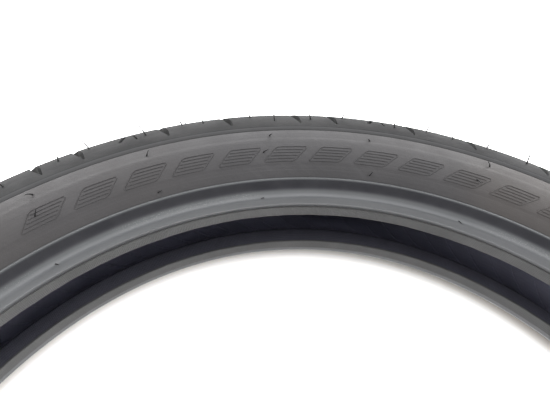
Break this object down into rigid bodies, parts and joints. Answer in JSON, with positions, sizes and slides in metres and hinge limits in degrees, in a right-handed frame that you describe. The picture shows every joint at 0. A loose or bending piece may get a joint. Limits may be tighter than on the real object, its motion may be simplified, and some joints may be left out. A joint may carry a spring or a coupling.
{
  "type": "motorcycle tire",
  "caption": "Unmounted motorcycle tire lying flat: a ring of rubber with a grooved round tread, tall sidewalls and two steel-wired beads that seat on a wheel rim.",
  "frame": {"origin": "centre of the tire, on the spin axis at the mid-plane", "axes": "+Z along the spin axis, up as the tire lies on its side; X and Y in the mid-plane of the tread"},
  "size_m": [0.637, 0.637, 0.102],
  "materials": {
    "tread_rubber": "matte moulded rubber, grooved",
    "base_rubber": "soft rubber under the tread",
    "breaker_fabric": "rubber coated nylon cord",
    "carcass_fabric": "rubber coated nylon cord",
    "liner_rubber": "smooth airtight rubber",
    "cushion_rubber": "soft rubber",
    "sidewall_rubber": "matte grey black rubber with raised marks",
    "rim_strip_rubber": "smooth abrasion rubber with a slight gloss",
    "chafer_cloth": "rubber coated square weave",
    "filler_rubber": "hard rubber",
    "wrap_fabric": "rubber coated fabric",
    "insulation_rubber": "hard rubber",
    "bead_wire": "bronze plated steel wire"
  },
  "bodies": {
    "root": {"tread_cap": "tread_rubber", "tread_base": "base_rubber", "breaker_ply_outer": "breaker_fabric", "breaker_ply_inner": "breaker_fabric", "carcass_ply_outer": "carcass_fabric", "carcass_ply_inner": "carcass_fabric", "inner_liner": "liner_rubber", "shoulder_cushion_upper": "cushion_rubber", "shoulder_cushion_lower": "cushion_rubber", "sidewall_upper": "sidewall_rubber", "sidewall_lower": "sidewall_rubber", "rim_strip_upper": "rim_strip_rubber", "rim_strip_lower": "rim_strip_rubber", "chafer_upper": "chafer_cloth", "chafer_lower": "chafer_cloth", "bead_filler_upper": "filler_rubber", "bead_filler_lower": "filler_rubber", "bead_wrap_upper": "wrap_fabric", "bead_wrap_lower": "wrap_fabric", "bead_insulation_upper": "insulation_rubber", "bead_insulation_lower": "insulation_rubber", "bead_wires_upper": "bead_wire", "bead_wires_lower": "bead_wire"}
  },
  "joints": []
}
